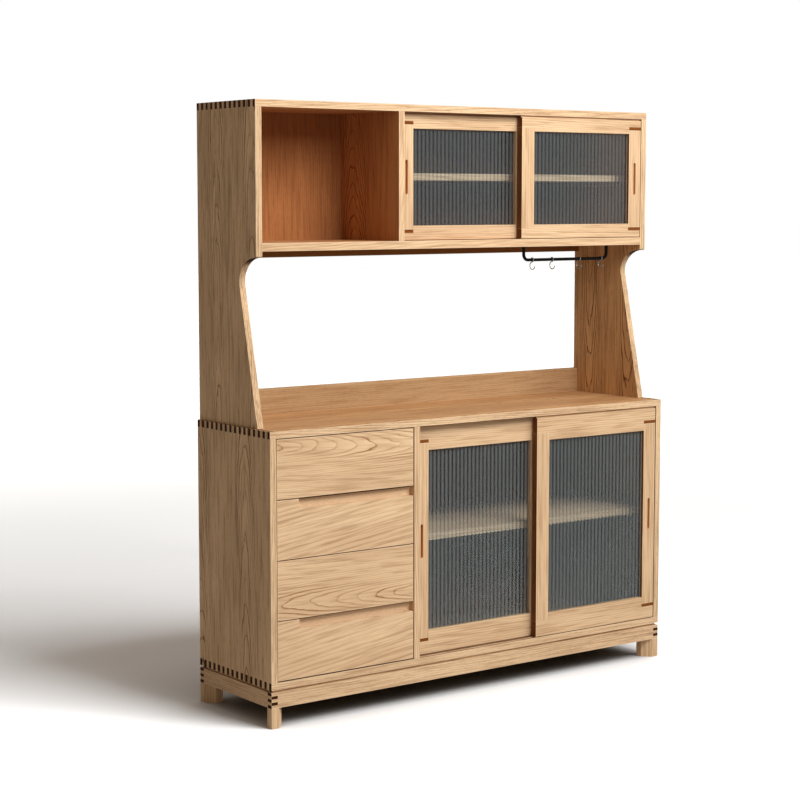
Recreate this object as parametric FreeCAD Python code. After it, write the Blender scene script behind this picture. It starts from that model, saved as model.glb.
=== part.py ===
import FreeCAD, Part
from collections import namedtuple
import math
import os

# Kitchen cupboard: an oak sideboard that carries a hutch with sliding reeded-glass doors.
# Millimetres. X runs from left to right, Y from front to back and Z up.
# The origin is on the floor, under the middle of the cupboard.

# Overall sizes
width = 1530.0
depth = 400.0
height = 1800.0
counter_height = 862.0
board = 21.0
finger = 12.9

# Feet and plinth frame
foot_height = 60.0
foot_size = 50.0
foot_chamfer = 26.0
plinth_height = 46.0
plinth_thickness = 21.0
plinth_finger = 9.2
shadow_line_height = 7.0
shadow_line_depth = 8.0

# Back panels, and the housings of the uprights and of the hutch floor
panel_thickness = 9.0
panel_inset = 12.0
panel_groove = 6.0
housing_depth = 5.0
housing_stop = 15.0

# Drawers
drawer_bay = 492.0
drawer_count = 4
drawer_front_thickness = 21.0
drawer_front_gap = 3.0
drawer_front_recess = 2.0
drawer_rear_gap = 22.0
drawer_wall = 15.0
drawer_finger = 30.0
drawer_side_gap = 1.0
drawer_box_raise = 20.0
drawer_box_drop = 4.0
drawer_bottom_thickness = 6.0
drawer_bottom_raise = 8.0
drawer_bottom_groove = 6.0
notch_height = 28.0
notch_start = 75.0
notch_radius = 16.0
pocket_height = 16.0
pocket_depth = 10.0
pocket_end = 20.0
runner_height = 16.0
runner_reach = 8.0
runner_start = 20.0
runner_play = 0.3
runner_end_play = 0.5

# Sliding doors
door_thickness = 21.0
door_recess = 1.0
track_gap = 6.0
stile_width = 51.0
lower_rail_height = 72.0
upper_rail_height = 43.0
door_side_gap = 2.5
door_floor_gap = 2.0
door_ceiling_gap = 6.0
tongue_thickness = 9.0
tongue_sink = 5.0
tongue_rise = 7.0
track_play = 0.4
track_floor_play = 0.3
track_lift = 6.0
glass_thickness = 5.0
glass_recess = 8.0
glass_lap = 8.0
glass_play = 0.5
flute_pitch = 15.0
flute_depth = 1.2
key_height = 10.0
key_depth = 10.0
lower_key_rise = 28.0
upper_key_rise = 17.0
pull_slot_length = 104.0
pull_slot_width = 9.0
pull_slot_depth = 10.0

# Shelves behind the doors
shelf_setback = 70.0
shelf_play = 0.5
cleat_size = 15.0
cleat_setback = 25.0

# Hutch
hutch_inset = 8.0
hutch_setback = 78.0
hutch_box_height = 406.0
hutch_floor_thickness = 24.0
toe_drop = 18.0
toe_width = 8.0
toe_radius = 6.0
cove_width = 83.0
cove_height = 81.0
cove_fullness = 0.56
rear_rail_height = 28.0
back_rail_height = 81.0
back_rail_thickness = 18.0
tenon_thickness = 9.0
tenon_length = 70.0
tenon_sink = 14.0
tenon_inset = 40.0

# Mug rail and its hooks
rod_diameter = 10.0
rod_seat = 12.0
rod_play = 0.1
rail_length = 356.0
rail_drop = 45.0
rail_setback = 80.0
rail_end_gap = 77.0
bend_radius = 18.0
hook_wire = 3.0
hook_play = 0.35
hook_loop_radius = 12.0
hook_eye_angle = 30.0
hook_tip_angle = -170.0
hook_places = (0.053, 0.316, 0.681, 0.978)
hook_sides = 8
hook_step = 24.0

# Planes that the pieces share
left = -width / 2
right = width / 2
front = -depth / 2
rear = depth / 2
carcass_bottom = foot_height + plinth_height + shadow_line_height
base_floor = carcass_bottom + board
base_ceiling = counter_height - board
inner_left = left + board
inner_right = right - board
divider_left = inner_left + drawer_bay
divider_right = divider_left + board
panel_back = rear - panel_inset
panel_front = panel_back - panel_thickness
hutch_front = front + hutch_setback
hutch_left = left + hutch_inset
hutch_right = right - hutch_inset
hutch_inner_left = hutch_left + board
hutch_inner_right = hutch_right - board
hutch_floor = height - hutch_box_height
hutch_under = hutch_floor - hutch_floor_thickness
hutch_ceiling = height - board
rail_right = hutch_inner_right - rail_end_gap
rail_left = rail_right - rail_length
rail_back = hutch_front + rail_setback
rail_bar = hutch_under - rail_drop

# The two bays with sliding doors, to the right of the dividers
Bay = namedtuple("Bay", "front right floor ceiling")
base_bay = Bay(front, inner_right, base_floor, base_ceiling)
hutch_bay = Bay(hutch_front, hutch_inner_right, hutch_floor, hutch_ceiling)


def point(x, y, z):
    """A point of the cupboard's frame."""
    return FreeCAD.Vector(x, y, z)


def box(x0, x1, y0, y1, z0, z1):
    """A block between two corners."""
    return Part.makeBox(x1 - x0, y1 - y0, z1 - z0, point(x0, y0, z0))


def trimmed(shape, cutters):
    """The shape without its cutters, with flat faces merged."""
    return shape.cut(cutters).removeSplitter()


def outline(corners):
    """A closed face through corners in one plane."""
    return Part.Face(Part.makePolygon(corners + corners[:1]))


def slices(start, end, size):
    """An odd number of equal steps from start to end, each near the given size."""
    count = 2 * round(((end - start) / size - 1) / 2) + 1
    step = (end - start) / count
    return [(start + step * i, start + step * (i + 1)) for i in range(count)]


def depth_slices(x0, x1, y0, y1, z0, z1, first):
    """Every second finger-wide slice of a corner joint along the depth."""
    return [box(x0, x1, low, high, z0, z1) for low, high in slices(y0, y1, finger)[first::2]]


# Feet and plinth frame

def foot(side, end):
    """A short post with two opposite corners cut off; side and end are -1 or 1."""
    wide = foot_size - foot_chamfer
    plan = [(0, 0), (wide, 0), (foot_size, foot_chamfer), (foot_size, foot_size)]
    plan += [(foot_chamfer, foot_size), (0, wide)]
    corners = [point(side * (right - u), end * (rear - v), 0) for u, v in plan]
    return outline(corners).extrude(point(0, 0, foot_height))


def plinth_long_rail(end):
    """Front or back rail: outer fingers at the corners, and a step that makes the shadow line."""
    top = foot_height + plinth_height
    outer = end * rear
    inner = end * (rear - plinth_thickness)
    step = end * (rear - shadow_line_depth)
    rail = box(left, right, min(outer, inner), max(outer, inner), foot_height, carcass_bottom)
    cutters = [box(left, right, min(outer, step), max(outer, step), top, carcass_bottom)]
    for x0, x1 in ((left, left + plinth_thickness), (right - plinth_thickness, right)):
        for low, high in slices(foot_height, top, plinth_finger)[1::2]:
            cutters.append(box(x0, x1, min(outer, inner), max(outer, inner), low, high))
    for x0, x1 in ((left, left + shadow_line_depth), (right - shadow_line_depth, right)):
        cutters.append(box(x0, x1, front, rear, top, carcass_bottom))
    return trimmed(rail, cutters)


def plinth_short_rail(side):
    """Left or right rail, with the fingers that fill the gaps of the long rails."""
    top = foot_height + plinth_height
    outer = side * right
    inner = side * (right - plinth_thickness)
    step = side * (right - shadow_line_depth)
    rail = box(min(outer, inner), max(outer, inner), front, rear, foot_height, carcass_bottom)
    cutters = [box(min(outer, step), max(outer, step), front, rear, top, carcass_bottom)]
    for y0, y1 in ((front, front + plinth_thickness), (rear - plinth_thickness, rear)):
        cutters.append(box(left, right, y0, y1, top, carcass_bottom))
        for low, high in slices(foot_height, top, plinth_finger)[0::2]:
            cutters.append(box(left, right, y0, y1, low, high))
    return trimmed(rail, cutters)


def plinth():
    """The four feet and the frame that they carry."""
    return {
        "foot_front_left": foot(-1, -1),
        "foot_front_right": foot(1, -1),
        "foot_back_left": foot(-1, 1),
        "foot_back_right": foot(1, 1),
        "plinth_rail_front": plinth_long_rail(-1),
        "plinth_rail_back": plinth_long_rail(1),
        "plinth_rail_left": plinth_short_rail(-1),
        "plinth_rail_right": plinth_short_rail(1),
    }


# Uprights, shelves and grooves that the base and the hutch share

def upright(bay):
    """A divider that is housed in the boards above and below, behind a stopped front edge."""
    low = bay.floor - housing_depth
    high = bay.ceiling + housing_depth
    stop = bay.front + housing_stop
    whole = box(divider_left, divider_right, bay.front, panel_front, low, high)
    below = box(divider_left, divider_right, bay.front, stop, low, bay.floor)
    above = box(divider_left, divider_right, bay.front, stop, bay.ceiling, high)
    return trimmed(whole, [below, above])


def floor_cuts(bay):
    """Door tracks and divider housing in the top of the board under a bay."""
    low = bay.floor - tongue_sink - track_floor_play
    return tracks(bay, low, bay.floor) + [upright_housing(bay, bay.floor - housing_depth, bay.floor)]


def ceiling_cuts(bay):
    """Door tracks and divider housing in the underside of the board over a bay."""
    high = bay.ceiling + tongue_rise + track_lift
    return tracks(bay, bay.ceiling, high) + [upright_housing(bay, bay.ceiling, bay.ceiling + housing_depth)]


def upright_housing(bay, z0, z1):
    """The housing of the divider's end in a board."""
    return box(divider_left, divider_right, bay.front + housing_stop, panel_front, z0, z1)


def door_faces(bay):
    """Front faces of the door in the front track and of the door in the rear track."""
    near = bay.front + door_recess
    return near, near + door_thickness + track_gap


def tracks(bay, z0, z1):
    """The two grooves that the doors' tongues run in."""
    inset = (door_thickness - tongue_thickness) / 2 - track_play
    groove = tongue_thickness + 2 * track_play
    grooves = []
    for face in door_faces(bay):
        y0 = face + inset
        grooves.append(box(divider_right, bay.right, y0, y0 + groove, z0, z1))
    return grooves


def shelf_underside(bay):
    """Height of a shelf in the middle of its bay."""
    return (bay.floor + bay.ceiling - board) / 2


def door_shelf(bay):
    """The loose shelf behind a pair of doors."""
    under = shelf_underside(bay)
    x0 = divider_right + shelf_play
    x1 = bay.right - shelf_play
    return box(x0, x1, bay.front + shelf_setback, panel_front - shelf_play, under, under + board)


def shelf_cleats(bay):
    """The strips that carry a shelf's ends."""
    high = shelf_underside(bay)
    y0 = bay.front + shelf_setback + cleat_setback
    strips = []
    for x0 in (divider_right, bay.right - cleat_size):
        strips.append(box(x0, x0 + cleat_size, y0, panel_front, high - cleat_size, high))
    return strips


# Base carcass

def hutch_tenons(x0):
    """The two tenons that stand a hutch side in the counter."""
    inset = (board - tenon_thickness) / 2
    tenons = []
    for y0 in (hutch_front + tenon_inset, rear - tenon_inset - tenon_length):
        low = counter_height - tenon_sink
        tenons.append(box(x0 + inset, x0 + board - inset, y0, y0 + tenon_length, low, counter_height))
    return tenons


def counter_mortises():
    """All tenons that go into the counter."""
    return hutch_tenons(hutch_left) + hutch_tenons(hutch_inner_right)


def base_side(x0, x1):
    """A side with sockets for the fingers of the counter and of the bottom board."""
    cutters = depth_slices(x0, x1, front, rear, carcass_bottom, base_floor, 0)
    cutters += depth_slices(x0, x1, front, rear, base_ceiling, counter_height, 0)
    cutters += counter_mortises()
    return trimmed(box(x0, x1, front, rear, carcass_bottom, counter_height), cutters)


def finger_board(x0, x1, y0, z0, z1):
    """A level board with through fingers at both ends, and the slices that they leave."""
    gaps = depth_slices(x0, x0 + board, y0, rear, z0, z1, 1)
    gaps += depth_slices(x1 - board, x1, y0, rear, z0, z1, 1)
    return box(x0, x1, y0, rear, z0, z1), gaps


def base_top():
    """The counter, grooved below for the doors, the back panel and the divider."""
    whole, cutters = finger_board(left, right, front, base_ceiling, counter_height)
    cutters += ceiling_cuts(base_bay) + counter_mortises()
    cutters.append(base_back_panel())
    return trimmed(whole, cutters)


def base_bottom():
    """The bottom board, grooved above for the doors, the back panel and the divider."""
    whole, cutters = finger_board(left, right, front, carcass_bottom, base_floor)
    cutters += floor_cuts(base_bay)
    cutters.append(base_back_panel())
    return trimmed(whole, cutters)


def base_back_panel():
    """The back, held in grooves at the top and the bottom."""
    low = base_floor - panel_groove
    high = base_ceiling + panel_groove
    return box(inner_left, inner_right, panel_front, panel_back, low, high)


def base():
    """The carcass that holds the drawers and the lower doors."""
    return {
        "base_side_left": base_side(left, inner_left),
        "base_side_right": base_side(inner_right, right),
        "base_top": base_top(),
        "base_bottom": base_bottom(),
        "base_divider": upright(base_bay),
        "base_back_panel": base_back_panel(),
        "base_shelf": door_shelf(base_bay),
        "drawer_runners": Part.makeCompound(drawer_runners()),
    }


# Drawers

def drawer_levels(number):
    """Lowest and highest edge of a drawer front, counted from the top."""
    opening = base_ceiling - base_floor
    tall = (opening - (drawer_count + 1) * drawer_front_gap) / drawer_count
    high = base_ceiling - drawer_front_gap - (number - 1) * (tall + drawer_front_gap)
    return high - tall, high


def drawer_depths():
    """Front face of the drawer fronts, and the front and the back of the drawer boxes."""
    face = front + drawer_front_recess
    return face, face + drawer_front_thickness, panel_front - drawer_rear_gap


def runner_levels(number):
    """Underside and top of a drawer's runners, in the middle of its box."""
    low, high = drawer_levels(number)
    middle = (low + drawer_box_raise + high - drawer_box_drop) / 2
    return middle - runner_height / 2, middle + runner_height / 2


def drawer_runners():
    """Wooden strips on the side and the divider, two for each drawer."""
    box_front, box_back = drawer_depths()[1:]
    strips = []
    for number in range(1, drawer_count + 1):
        z0, z1 = runner_levels(number)
        for x0 in (inner_left, divider_left - runner_reach):
            strips.append(box(x0, x0 + runner_reach, box_front + runner_start, box_back, z0, z1))
    return strips


def notch_cutter(x0, x1, y0, y1, low, high):
    """The finger notch: open at the top and at the right end, with a round inner corner."""
    bend = notch_radius * (1 - math.sqrt(0.5))
    arc = Part.Arc(
        point(x0, y0, low + notch_radius),
        point(x0 + bend, y0, low + bend),
        point(x0 + notch_radius, y0, low),
    )
    lines = Part.makePolygon([
        point(x0 + notch_radius, y0, low),
        point(x1, y0, low),
        point(x1, y0, high),
        point(x0, y0, high),
        point(x0, y0, low + notch_radius),
    ])
    face = Part.Face(Part.Wire([arc.toShape()] + lines.Edges))
    return face.extrude(point(0, y1 - y0, 0))


def drawer_front(number):
    """A front; even ones have the notch, and all have a finger pocket behind the edge that is pulled."""
    low, high = drawer_levels(number)
    face, back = drawer_depths()[:2]
    x0 = inner_left + drawer_front_gap
    x1 = divider_left - drawer_front_gap
    start = x0 + notch_start
    whole = box(x0, x1, face, back, low, high)
    if number % 2 == 0:
        edge = high - notch_height
        cutters = [notch_cutter(start, x1, face, back, edge, high)]
        z0, z1 = edge - pocket_height, edge
    else:
        cutters = []
        z0, z1 = low, low + pocket_height
    cutters.append(box(start + notch_radius, x1 - pocket_end, back - pocket_depth, back, z0, z1))
    return trimmed(whole, cutters)


def drawer_box(number):
    """Four walls with box-jointed corners, grooved outside for the runners and inside for the bottom."""
    low, high = drawer_levels(number)
    z0 = low + drawer_box_raise
    z1 = high - drawer_box_drop
    box_front, box_back = drawer_depths()[1:]
    x0 = inner_left + drawer_side_gap
    x1 = divider_left - drawer_side_gap
    steps = slices(z0, z1, drawer_finger)
    ends = ((box_front, box_front + drawer_wall), (box_back - drawer_wall, box_back))
    sides = ((x0, x0 + drawer_wall), (x1 - drawer_wall, x1))
    shared = runner_grooves(number) + [drawer_bottom(number)]
    walls = []
    for side_x0, side_x1 in sides:
        sockets = [box(x0, x1, y0, y1, a, b) for y0, y1 in ends for a, b in steps[1::2]]
        walls.append(trimmed(box(side_x0, side_x1, box_front, box_back, z0, z1), sockets + shared))
    for y0, y1 in ends:
        gaps = [box(a, b, y0, y1, c, d) for a, b in sides for c, d in steps[0::2]]
        walls.append(trimmed(box(x0, x1, y0, y1, z0, z1), gaps + shared))
    return Part.makeCompound(walls)


def runner_grooves(number):
    """The grooves that let a drawer hang on its runners."""
    box_front, box_back = drawer_depths()[1:]
    z0, z1 = runner_levels(number)
    y0 = box_front + runner_start - runner_end_play
    reach = runner_reach + runner_play
    low = z0 - 2 * runner_play
    high = z1 + runner_play
    return [
        box(inner_left, inner_left + reach, y0, box_back, low, high),
        box(divider_left - reach, divider_left, y0, box_back, low, high),
    ]


def drawer_bottom(number):
    """The bottom, held in grooves of all four walls."""
    box_front, box_back = drawer_depths()[1:]
    inset = drawer_wall - drawer_bottom_groove
    x0 = inner_left + drawer_side_gap + inset
    x1 = divider_left - drawer_side_gap - inset
    z0 = drawer_levels(number)[0] + drawer_box_raise + drawer_bottom_raise
    return box(x0, x1, box_front + inset, box_back - inset, z0, z0 + drawer_bottom_thickness)


def drawers():
    """All drawers, numbered from the top."""
    nodes = {}
    for number in range(1, drawer_count + 1):
        nodes[f"drawer_{number}_front"] = drawer_front(number)
        nodes[f"drawer_{number}_box"] = drawer_box(number)
        nodes[f"drawer_{number}_bottom"] = drawer_bottom(number)
    return nodes


# Sliding doors

def reeded_glass(x0, x1, y0, z0, z1):
    """A pane with convex upright flutes on its front."""
    count = max(1, round((x1 - x0) / flute_pitch))
    step = (x1 - x0) / count
    valley = y0 + flute_depth
    back = y0 + glass_thickness
    edges = []
    for i in range(count):
        start = x0 + step * i
        crest = point(start + step / 2, y0, z0)
        arc = Part.Arc(point(start, valley, z0), crest, point(start + step, valley, z0))
        edges.append(arc.toShape())
    rest = [point(x1, valley, z0), point(x1, back, z0), point(x0, back, z0), point(x0, valley, z0)]
    edges += Part.makePolygon(rest).Edges
    return Part.Face(Part.Wire(edges)).extrude(point(0, 0, z1 - z0))


def pull_slot(x, face, middle):
    """A round-ended recess for the fingertips."""
    radius = pull_slot_width / 2
    low = middle - pull_slot_length / 2 + radius
    high = middle + pull_slot_length / 2 - radius
    edges = [
        Part.LineSegment(point(x - radius, face, low), point(x - radius, face, high)),
        Part.Arc(
            point(x - radius, face, high),
            point(x, face, high + radius),
            point(x + radius, face, high),
        ),
        Part.LineSegment(point(x + radius, face, high), point(x + radius, face, low)),
        Part.Arc(
            point(x + radius, face, low),
            point(x, face, low - radius),
            point(x - radius, face, low),
        ),
    ]
    wire = Part.Wire([edge.toShape() for edge in edges])
    return Part.Face(wire).extrude(point(0, pull_slot_depth, 0))


def door(name, bay, x0, x1, face, rail, key_rise, outer):
    """One framed glass door; outer is the span of the stile with the pull slot and the keys."""
    back = face + door_thickness
    low = bay.floor + door_floor_gap
    high = bay.ceiling - door_ceiling_gap
    seam_low = low + rail - key_rise + key_height / 2
    seam_high = high - rail + key_rise - key_height / 2
    pane_front = face + glass_recess
    pane_back = pane_front + glass_thickness
    pane_x0 = x0 + stile_width - glass_lap
    pane_x1 = x1 - stile_width + glass_lap
    pane_z0 = low + rail - glass_lap
    pane_z1 = high - rail + glass_lap
    pocket = box(pane_x0, pane_x1, pane_front, pane_back, pane_z0, pane_z1)
    keys = [
        box(outer[0], outer[1], face, face + key_depth, seam_low - key_height, seam_low),
        box(outer[0], outer[1], face, face + key_depth, seam_high, seam_high + key_height),
    ]
    spans = ((x0, x0 + stile_width), (x1 - stile_width, x1))
    slot = pull_slot((outer[0] + outer[1]) / 2, face, (low + high) / 2)
    stiles = [box(a, b, face, back, seam_low, seam_high) for a, b in spans]
    tongue_y0 = face + (door_thickness - tongue_thickness) / 2
    tongue_y1 = tongue_y0 + tongue_thickness
    foot_tongue = box(x0, x1, tongue_y0, tongue_y1, bay.floor - tongue_sink, low)
    head_tongue = box(x0, x1, tongue_y0, tongue_y1, high, bay.ceiling + tongue_rise)
    foot_rail = box(x0, x1, face, back, low, low + rail).fuse(foot_tongue)
    head_rail = box(x0, x1, face, back, high - rail, high).fuse(head_tongue)
    pane = reeded_glass(
        pane_x0 + glass_play,
        pane_x1 - glass_play,
        pane_front,
        pane_z0 + glass_play,
        pane_z1 - glass_play,
    )
    return {
        f"{name}_stiles": Part.makeCompound([trimmed(stile, [pocket, slot]) for stile in stiles]),
        f"{name}_rails": Part.makeCompound(
            [trimmed(piece, stiles + keys + [pocket]) for piece in (foot_rail, head_rail)]
        ),
        f"{name}_glass": pane,
        f"{name}_keys": Part.makeCompound(keys),
    }


def door_pair(level, bay, rail, key_rise):
    """The left door in the rear track and the right door in the front track."""
    door_width = (bay.right - divider_right + stile_width) / 2 - door_side_gap
    near, far = door_faces(bay)
    x0 = divider_right + door_side_gap
    x1 = bay.right - door_side_gap
    left_outer = (x0, x0 + stile_width)
    right_outer = (x1 - stile_width, x1)
    return {
        **door(f"{level}_left_door", bay, x0, x0 + door_width, far, rail, key_rise, left_outer),
        **door(f"{level}_right_door", bay, x1 - door_width, x1, near, rail, key_rise, right_outer),
    }


# Hutch

def hutch_side(x0):
    """A one-piece side: full depth at the box, a toe, a cove, a slope out to the counter, and tenons."""
    toe = hutch_under - toe_drop
    bend = toe_radius * (1 - math.sqrt(0.5))
    base_corner = point(x0, hutch_front, counter_height)
    toe_end = point(x0, hutch_front + toe_width, toe)
    waist = point(x0, hutch_front + toe_width + cove_width, toe - cove_height)
    slope = (waist - base_corner).normalize()
    cove = Part.BezierCurve()
    cove.setPoles([
        toe_end,
        toe_end + point(0, cove_width * cove_fullness, 0),
        waist + slope * (cove_height * cove_fullness),
        waist,
    ])
    edges = [
        Part.LineSegment(point(x0, hutch_front, height), point(x0, hutch_front, toe + toe_radius)),
        Part.Arc(
            point(x0, hutch_front, toe + toe_radius),
            point(x0, hutch_front + bend, toe + bend),
            point(x0, hutch_front + toe_radius, toe),
        ),
        Part.LineSegment(point(x0, hutch_front + toe_radius, toe), toe_end),
        cove,
        Part.LineSegment(waist, base_corner),
        Part.LineSegment(base_corner, point(x0, rear, counter_height)),
        Part.LineSegment(point(x0, rear, counter_height), point(x0, rear, height)),
        Part.LineSegment(point(x0, rear, height), point(x0, hutch_front, height)),
    ]
    face = Part.Face(Part.Wire([edge.toShape() for edge in edges]))
    cutters = depth_slices(x0, x0 + board, hutch_front, rear, hutch_ceiling, height, 0)
    cutters.append(hutch_floor_blank())
    return trimmed(face.extrude(point(board, 0, 0)).fuse(hutch_tenons(x0)), cutters)


def hutch_top():
    """The top, with through fingers, grooved below for the doors, the back panel and the divider."""
    whole, cutters = finger_board(hutch_left, hutch_right, hutch_front, hutch_ceiling, height)
    cutters += ceiling_cuts(hutch_bay)
    cutters.append(hutch_back_panel())
    return trimmed(whole, cutters)


def hutch_floor_blank():
    """The hutch floor before its grooves: its ends are housed in the sides behind a stopped front."""
    x0 = hutch_inner_left - housing_depth
    x1 = hutch_inner_right + housing_depth
    stop = hutch_front + housing_stop
    corners = [
        box(x0, hutch_inner_left, hutch_front, stop, hutch_under, hutch_floor),
        box(hutch_inner_right, x1, hutch_front, stop, hutch_under, hutch_floor),
    ]
    return trimmed(box(x0, x1, hutch_front, rear, hutch_under, hutch_floor), corners)


def hutch_floor_board():
    """The hutch floor with its grooves above and the holes of the mug rail below."""
    cutters = floor_cuts(hutch_bay)
    cutters.append(hutch_back_panel())
    for x in (rail_left, rail_right):
        hole = Part.makeCylinder(rod_diameter / 2 + rod_play, rod_seat, point(x, rail_back, hutch_under))
        cutters.append(hole)
    return trimmed(hutch_floor_blank(), cutters)


def hutch_back_panel():
    """The back of the hutch box, held in grooves at the top and the bottom."""
    low = hutch_floor - panel_groove
    high = hutch_ceiling + panel_groove
    return box(hutch_inner_left, hutch_inner_right, panel_front, panel_back, low, high)


def hutch_rear_rail():
    """The stretcher under the back of the hutch box."""
    low = hutch_under - rear_rail_height
    return box(hutch_inner_left, hutch_inner_right, rear - board, rear, low, hutch_under)


def counter_back_rail():
    """The low rail at the back of the counter, with a full round along its top."""
    radius = back_rail_thickness / 2
    face = rear - back_rail_thickness
    crown = counter_height + back_rail_height
    x0 = hutch_inner_left
    arc = Part.Arc(
        point(x0, rear, crown - radius),
        point(x0, rear - radius, crown),
        point(x0, face, crown - radius),
    )
    lines = Part.makePolygon([
        point(x0, face, crown - radius),
        point(x0, face, counter_height),
        point(x0, rear, counter_height),
        point(x0, rear, crown - radius),
    ])
    section = Part.Face(Part.Wire([arc.toShape()] + lines.Edges))
    return section.extrude(point(hutch_inner_right - hutch_inner_left, 0, 0))


def hutch():
    """The hutch with everything that is fixed to it or to the counter under it."""
    cleats = shelf_cleats(base_bay) + shelf_cleats(hutch_bay)
    return {
        "hutch_side_left": hutch_side(hutch_left),
        "hutch_side_right": hutch_side(hutch_inner_right),
        "hutch_top": hutch_top(),
        "hutch_floor": hutch_floor_board(),
        "hutch_divider": upright(hutch_bay),
        "hutch_back_panel": hutch_back_panel(),
        "hutch_shelf": door_shelf(hutch_bay),
        "hutch_rear_rail": hutch_rear_rail(),
        "counter_back_rail": counter_back_rail(),
        "shelf_cleats": Part.makeCompound(cleats),
    }


# Mug rail and hooks

def rail_point(x, z):
    """A point in the upright plane of the mug rail."""
    return point(x, rail_back, z)


def mug_rail():
    """A round bent rod whose ends stand in the hutch floor."""
    bend = bend_radius * (1 - math.sqrt(0.5))
    top = hutch_under + rod_seat - rod_play
    turn = rail_bar + bend_radius
    edges = [
        Part.LineSegment(rail_point(rail_left, top), rail_point(rail_left, turn)),
        Part.Arc(
            rail_point(rail_left, turn),
            rail_point(rail_left + bend, rail_bar + bend),
            rail_point(rail_left + bend_radius, rail_bar),
        ),
        Part.LineSegment(
            rail_point(rail_left + bend_radius, rail_bar),
            rail_point(rail_right - bend_radius, rail_bar),
        ),
        Part.Arc(
            rail_point(rail_right - bend_radius, rail_bar),
            rail_point(rail_right - bend, rail_bar + bend),
            rail_point(rail_right, turn),
        ),
        Part.LineSegment(rail_point(rail_right, turn), rail_point(rail_right, top)),
    ]
    path = Part.Wire([edge.toShape() for edge in edges])
    section = Part.makeCircle(rod_diameter / 2, rail_point(rail_left, top), point(0, 0, 1))
    return path.makePipeShell([Part.Wire([section])], True, False)


def hook_section(x, y, z, turn):
    """Corners of the many-sided wire, square to its run at an angle round the arc."""
    corners = []
    for i in range(hook_sides):
        angle = math.radians(360 * (i + 0.5) / hook_sides)
        outward = math.cos(angle) * hook_wire / 2
        along_rail = math.sin(angle) * hook_wire / 2
        corners.append(point(x + along_rail, y + outward * math.cos(turn), z + outward * math.sin(turn)))
    return corners


def hook_arc(x, z, radius, start, end):
    """Sections along an arc across the rail between two angles; a negative radius bends the wire back."""
    count = math.ceil(abs(end - start) / hook_step)
    sections = []
    for i in range(count + 1):
        turn = math.radians(start + (end - start) * i / count)
        y = rail_back + radius * math.cos(turn)
        sections.append(hook_section(x, y, z + radius * math.sin(turn), turn))
    return sections


def mug_hook(place):
    """An S of wire, hanging with its weight under the rail: an eye, and a loop open to the front."""
    straight = rail_length - 2 * bend_radius
    x = rail_left + bend_radius + straight * place
    eye = rod_diameter / 2 + hook_play + hook_wire / 2
    loop = rail_bar - eye - hook_loop_radius
    sections = hook_arc(x, rail_bar, eye, hook_eye_angle, 270)
    sections += hook_arc(x, loop, -hook_loop_radius, 270, 180 + hook_tip_angle)[1:]
    faces = [outline(sections[0]), outline(sections[-1])]
    for near, far in zip(sections, sections[1:]):
        faces += [outline([near[i - 1], near[i], far[i], far[i - 1]]) for i in range(hook_sides)]
    hook = Part.Solid(Part.Shell(faces))
    weight = hook.CenterOfGravity
    lean = math.degrees(math.atan2(weight.y - rail_back, rail_bar - weight.z))
    hook.rotate(rail_point(x, rail_bar), point(1, 0, 0), -lean)
    return hook


def mug_holder():
    """The rail and its loose hooks, numbered from the left."""
    nodes = {"mug_rail": mug_rail()}
    for number, place in enumerate(hook_places, 1):
        nodes[f"mug_hook_{number}"] = mug_hook(place)
    return nodes


def main():
    """Build every piece and write it out."""
    os.makedirs("parts", exist_ok=True)
    nodes = {
        **plinth(),
        **base(),
        **drawers(),
        **door_pair("lower", base_bay, lower_rail_height, lower_key_rise),
        **door_pair("upper", hutch_bay, upper_rail_height, upper_key_rise),
        **hutch(),
        **mug_holder(),
    }
    for name, shape in nodes.items():
        shape.exportStep(f"parts/{name}.step")


main()
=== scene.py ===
"""Looks, light and camera for the kitchen cupboard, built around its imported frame."""

import math
import random
from collections import namedtuple

import bpy
from mathutils import Euler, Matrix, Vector


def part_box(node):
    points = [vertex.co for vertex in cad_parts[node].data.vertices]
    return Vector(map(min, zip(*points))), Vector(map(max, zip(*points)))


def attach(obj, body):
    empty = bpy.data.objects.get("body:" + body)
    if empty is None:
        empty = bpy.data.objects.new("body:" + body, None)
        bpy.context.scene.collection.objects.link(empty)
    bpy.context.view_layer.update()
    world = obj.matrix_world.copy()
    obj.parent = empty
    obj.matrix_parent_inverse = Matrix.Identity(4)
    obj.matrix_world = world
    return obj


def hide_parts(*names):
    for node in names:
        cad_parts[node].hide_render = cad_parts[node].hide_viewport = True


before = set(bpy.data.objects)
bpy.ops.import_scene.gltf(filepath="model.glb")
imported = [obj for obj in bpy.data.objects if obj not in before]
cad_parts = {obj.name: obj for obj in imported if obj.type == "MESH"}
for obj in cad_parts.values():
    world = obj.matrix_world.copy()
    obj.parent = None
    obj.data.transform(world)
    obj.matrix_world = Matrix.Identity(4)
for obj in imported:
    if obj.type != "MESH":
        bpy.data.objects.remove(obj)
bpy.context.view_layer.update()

# Camera, from the photograph's perspective; its turns are in degrees
CAMERA_PLACE = (-3.7101, -4.7950, 1.5159)
CAMERA_DOWN = 5.894
CAMERA_RIGHT = 36.53
CAMERA_LENS = 87.154

# Light: two suns from the front right, a panel high in front, a warm fill from the left, an even glow
KEY_ACROSS = 42.0
KEY_HEIGHT = 36.0
KEY_STRENGTH = 0.97
FRONT_ACROSS = 14.0
FRONT_HEIGHT = 34.0
FRONT_STRENGTH = 0.48
FILL_ACROSS = -72.0
FILL_HEIGHT = 8.0
FILL_STRENGTH = 0.23
FILL_TINT = (1.0, 0.66, 0.40)
SUN_SPREAD = 26.0
PANEL_PLACE = (0.3, -2.6, 3.1)
PANEL_TARGET = (0.0, 0.0, 1.7)
PANEL_SIZE = 1.6
PANEL_POWER = 90.0
GLOW_STRENGTH = 0.15
GLOW_TINT = (1.0, 0.91, 0.81, 1.0)
WHITE = (1.0, 1.0, 1.0, 1.0)

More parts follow.
